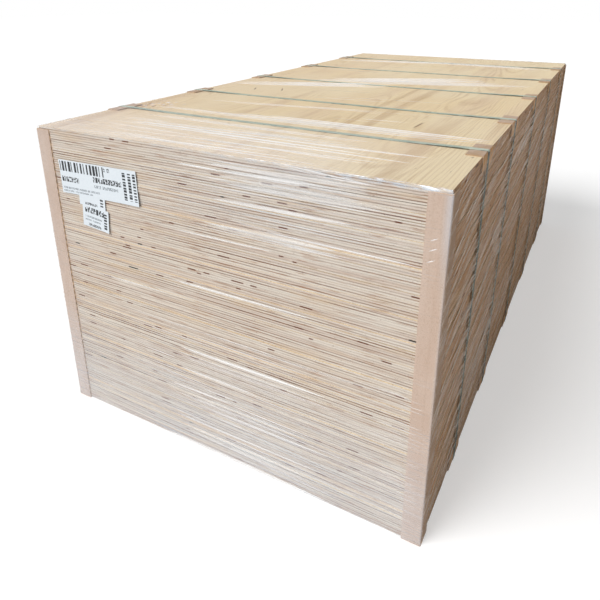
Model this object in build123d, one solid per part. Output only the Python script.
from build123d import *
from math import sin
import os

# A pack of full-size plywood sheets as it lies on a floor, in millimetres.
# The origin is under the middle of the pack, +Y runs along the sheets and the labelled end faces -Y.

# Sheets: standard 1220 by 2440 panels, laid flat in one pile
SHEET_WIDTH = 1220.0
SHEET_LENGTH = 2440.0
SHEET_THICKNESS = 20.5
SHEET_GAP = 0.3
SHEET_COUNT = 46
STAGGER_SIDE = 1.2
STAGGER_END = 1.8

# How the sheets wander out of line: the turn of each wave from sheet to sheet and at the first, in radians
SIDE_TURN = 2.4
SIDE_START = 0.6
END_TURN = 1.7
END_START = 1.1
LEAN_TURN = 0.37
LEAN_START = 0.4

# Corner posts: folded board angles that stand at the four upright corners
POST_LEG = 52.0
POST_WALL = 4.0
POST_TOP_DROP = 8.0
SEAT_CLEARANCE = 0.2

# Edge guards: short board angles under each strap at the long edges
GUARD_LEG = 44.0
GUARD_WALL = 3.0
GUARD_LENGTH = 114.0

# Straps: flat plastic bands drawn tight round the pile and welded where their ends lap
STRAP_COUNT = 5
STRAP_WIDTH = 19.0
STRAP_THICKNESS = 1.0
STRAP_CLEARANCE = 0.3
STRAP_FRONT_INSET = 327.0
STRAP_BACK_INSET = 300.0
STRAP_DRIFTS = (0.0, -50.0, -43.0, -22.0, 0.0)
STRAP_SETTLE = 180.0
LAP_LENGTH = 70.0

# Stretch film: one thin skin over the top, the sides and the ends, open below
FILM_WALL = 0.4
FILM_CLEARANCE = 0.3
FILM_HEM_LIFT = 2.0

# Labels: plain paper sheets stuck on the film at the front end
PACK_LABEL_WIDTH = 305.0
PACK_LABEL_HEIGHT = 102.0
PACK_LABEL_TILT = 1.1
PACK_LABEL_ACROSS = 227.0
PACK_LABEL_DOWN = 140.0
TALLY_LABEL_WIDTH = 104.0
TALLY_LABEL_HEIGHT = 70.0
LOWER_TALLY_TILT = -5.5
LOWER_TALLY_ACROSS = 200.0
LOWER_TALLY_DOWN = 256.0
UPPER_TALLY_TILT = -3.0
UPPER_TALLY_SHIFT = -5.0
UPPER_TALLY_RISE = 68.0
LABEL_THICKNESS = 0.3
LABEL_CLEARANCE = 0.1

# Where the pile starts and ends, and the planes that the board angles lie against
SHEET_PITCH = SHEET_THICKNESS + SHEET_GAP
PILE_BOTTOM = STRAP_THICKNESS + STRAP_CLEARANCE + GUARD_WALL
PILE_TOP = PILE_BOTTOM + SHEET_COUNT * SHEET_PITCH - SHEET_GAP
SEAT_X = SHEET_WIDTH / 2 + STAGGER_SIDE + SEAT_CLEARANCE
SEAT_Y = SHEET_LENGTH / 2 + STAGGER_END + SEAT_CLEARANCE
POST_HEIGHT = PILE_TOP - POST_TOP_DROP - PILE_BOTTOM

# How far each layer of packing stands out from those planes
STRAP_INSIDE = GUARD_WALL + STRAP_CLEARANCE
STRAP_OUTSIDE = STRAP_INSIDE + STRAP_THICKNESS
FILM_OUTSIDE = FILM_CLEARANCE + FILM_WALL
FILM_BOTTOM = PILE_BOTTOM + FILM_HEM_LIFT
PILE_MIDDLE = (PILE_TOP + PILE_BOTTOM) / 2

SIDES = {"left": -1, "right": 1}


def sheet(index):
    """One plywood panel, pushed a little out of line with its neighbours as hand-stacked panels are."""
    shift_x = STAGGER_SIDE * sin(SIDE_TURN * index + SIDE_START)
    lean = sin(LEAN_TURN * index + LEAN_START)
    shift_y = STAGGER_END * lean * sin(END_TURN * index + END_START)
    panel = Box(
        SHEET_WIDTH,
        SHEET_LENGTH,
        SHEET_THICKNESS,
        align=(Align.CENTER, Align.CENTER, Align.MIN),
    )
    return Pos(shift_x, shift_y, PILE_BOTTOM + index * SHEET_PITCH) * panel


def board_angle(leg, wall, length):
    """A folded board angle along +Z, with its inside corner on the axis and its legs along -X and -Y."""
    reach = wall - leg
    with BuildSketch() as section:
        with BuildLine():
            Polyline((0, 0), (0, reach), (wall, reach), (wall, 0))
            CenterArc((0, 0), wall, 0, 90)
            Polyline((0, wall), (reach, wall), (reach, 0), (0, 0))
        make_face()
    return extrude(section.sketch, amount=length)


def corner_post(side, end):
    """The post at one upright corner: side is -1 or 1 across the pack, end is -1 at the front."""
    post = board_angle(POST_LEG, POST_WALL, POST_HEIGHT)
    if side < 0:
        post = mirror(post, about=Plane.YZ)
    if end < 0:
        post = mirror(post, about=Plane.XZ)
    return Pos(side * SEAT_X, end * SEAT_Y, PILE_BOTTOM) * post


def strap_place(number):
    """Where a strap crosses the pack, along Y: evenly spaced, but for the drift of each."""
    first = -SHEET_LENGTH / 2 + STRAP_FRONT_INSET
    last = SHEET_LENGTH / 2 - STRAP_BACK_INSET
    spacing = (last - first) / (STRAP_COUNT - 1)
    return first + number * spacing + STRAP_DRIFTS[number % len(STRAP_DRIFTS)]


def edge_guard(number, side, level):
    """The board angle between a strap and one long edge: level is 1 at the top and -1 below."""
    guard = Rot(90, 0, 0) * Pos(0, 0, -GUARD_LENGTH / 2) * board_angle(GUARD_LEG, GUARD_WALL, GUARD_LENGTH)
    if side < 0:
        guard = mirror(guard, about=Plane.YZ)
    if level < 0:
        guard = mirror(guard, about=Plane.XY)
    seat_z = PILE_TOP if level > 0 else PILE_BOTTOM
    return Pos(side * SEAT_X, strap_place(number), seat_z) * guard


def section_outline(stand_off):
    """The rounded rectangle at a given distance outside the pile, seen along Y from its middle."""
    width = 2 * (SEAT_X + stand_off)
    height = PILE_TOP - PILE_BOTTOM + 2 * stand_off
    return RectangleRounded(width, height, stand_off)


def strap_outline(stand_off):
    """The same outline where a strap runs: on top it comes down from the guards and lies on the top sheet."""
    crest = (PILE_TOP - PILE_BOTTOM) / 2 + stand_off
    trough = crest - GUARD_WALL
    guard_edge = SEAT_X + GUARD_WALL - GUARD_LEG
    settled = guard_edge - STRAP_SETTLE
    corners = [(-guard_edge, crest), (-settled, trough), (settled, trough), (guard_edge, crest)]
    return section_outline(stand_off) - Polygon(*corners, align=None)


def across_pack(section, number, length):
    """Draws a section seen along Y into a body of a given length, centred on a strap's place."""
    start = Plane((0, strap_place(number) - length / 2, PILE_MIDDLE), x_dir=(1, 0, 0), z_dir=(0, -1, 0))
    return extrude(start * section, amount=-length)


def strap(number):
    """One closed band with the tail of its weld lapped under it on the left side."""
    band = strap_outline(STRAP_OUTSIDE) - strap_outline(STRAP_INSIDE)
    tail_x = -(SEAT_X + STRAP_INSIDE) + STRAP_THICKNESS / 2
    tail = Pos(tail_x, 0) * Rectangle(STRAP_THICKNESS, LAP_LENGTH)
    return across_pack(band + tail, number, STRAP_WIDTH)


def corners_only(outline, half_width, half_height, leg):
    """The parts of an outline that lie within a leg's length of its four corners."""
    squares = Sketch() + GridLocations(2 * half_width, 2 * half_height, 2, 2) * Rectangle(2 * leg, 2 * leg)
    return outline & squares


def post_covers(grow):
    """What the four posts take up at the corners, grown outwards by a gap."""
    half_x = SEAT_X + POST_WALL + grow
    half_y = SEAT_Y + POST_WALL + grow
    outline = RectangleRounded(2 * half_x, 2 * half_y, POST_WALL + grow)
    plan = corners_only(outline, half_x, half_y, POST_LEG + 2 * grow)
    return Pos(0, 0, PILE_BOTTOM - grow) * extrude(plan, amount=POST_HEIGHT + 2 * grow)


def guard_covers(number, grow):
    """What the four guards of one strap take up along the edges, grown outwards by a gap."""
    half_x = SEAT_X + GUARD_WALL + grow
    half_z = (PILE_TOP - PILE_BOTTOM) / 2 + GUARD_WALL + grow
    section = corners_only(section_outline(GUARD_WALL + grow), half_x, half_z, GUARD_LEG + 2 * grow)
    return across_pack(section, number, GUARD_LENGTH + 2 * grow)


def wrapped_form(grow):
    """The whole pack as the film finds it: the pile with the posts, guards and straps standing proud."""
    form = Pos(0, 0, PILE_BOTTOM) * Box(
        2 * (SEAT_X + grow),
        2 * (SEAT_Y + grow),
        PILE_TOP + grow - PILE_BOTTOM,
        align=(Align.CENTER, Align.CENTER, Align.MIN),
    )
    form += post_covers(grow)
    for number in range(STRAP_COUNT):
        form += guard_covers(number, grow)
        form += across_pack(strap_outline(STRAP_OUTSIDE + grow), number, STRAP_WIDTH + 2 * grow)
    return form


def stretch_film():
    """The film drawn tight over the pack as one skin, and open below its hem."""
    skin = wrapped_form(FILM_OUTSIDE) - wrapped_form(FILM_CLEARANCE)
    below_hem = Pos(0, 0, FILM_BOTTOM) * Box(
        2 * SHEET_WIDTH,
        2 * SHEET_LENGTH,
        2 * PILE_BOTTOM + 2 * FILM_HEM_LIFT,
        align=(Align.CENTER, Align.CENTER, Align.MAX),
    )
    return skin - below_hem


def end_label(width, height, tilt, across, down, layer):
    """A paper label on the front: across from the left edge, down from the top, layer 0 next to the film."""
    gap = LABEL_CLEARANCE + layer * (LABEL_THICKNESS + LABEL_CLEARANCE)
    x = -(SEAT_X + POST_WALL + FILM_OUTSIDE) + across
    front = -(SEAT_Y + FILM_OUTSIDE)
    z = PILE_TOP - down
    paper = Box(width, LABEL_THICKNESS, height, align=(Align.CENTER, Align.MAX, Align.CENTER))
    return Pos(x, front - gap, z) * Rot(0, -tilt, 0) * paper


def write(node, *solids):
    """Saves one node of the pack."""
    shape = solids[0] if len(solids) == 1 else Compound(children=list(solids))
    export_step(shape, f"parts/{node}.step")


os.makedirs("parts", exist_ok=True)

write("bottom_sheet", sheet(0))
write("inner_sheets", *[sheet(index) for index in range(1, SHEET_COUNT - 1)])
write("top_sheet", sheet(SHEET_COUNT - 1))

for end_name, end in {"front": -1, "back": 1}.items():
    for side_name, side in SIDES.items():
        write(f"corner_post_{end_name}_{side_name}", corner_post(side, end))

for number in range(STRAP_COUNT):
    for level_name, level in {"top": 1, "bottom": -1}.items():
        for side_name, side in SIDES.items():
            write(f"edge_guard_{number + 1}_{level_name}_{side_name}", edge_guard(number, side, level))
    write(f"strap_{number + 1}", strap(number))

write("stretch_film", stretch_film())

write(
    "tally_label_upper",
    end_label(
        TALLY_LABEL_WIDTH,
        TALLY_LABEL_HEIGHT,
        UPPER_TALLY_TILT,
        LOWER_TALLY_ACROSS + UPPER_TALLY_SHIFT,
        LOWER_TALLY_DOWN - UPPER_TALLY_RISE,
        0,
    ),
)
write(
    "tally_label_lower",
    end_label(
        TALLY_LABEL_WIDTH,
        TALLY_LABEL_HEIGHT,
        LOWER_TALLY_TILT,
        LOWER_TALLY_ACROSS,
        LOWER_TALLY_DOWN,
        1,
    ),
)
write(
    "pack_label",
    end_label(
        PACK_LABEL_WIDTH,
        PACK_LABEL_HEIGHT,
        PACK_LABEL_TILT,
        PACK_LABEL_ACROSS,
        PACK_LABEL_DOWN,
        1,
    ),
)
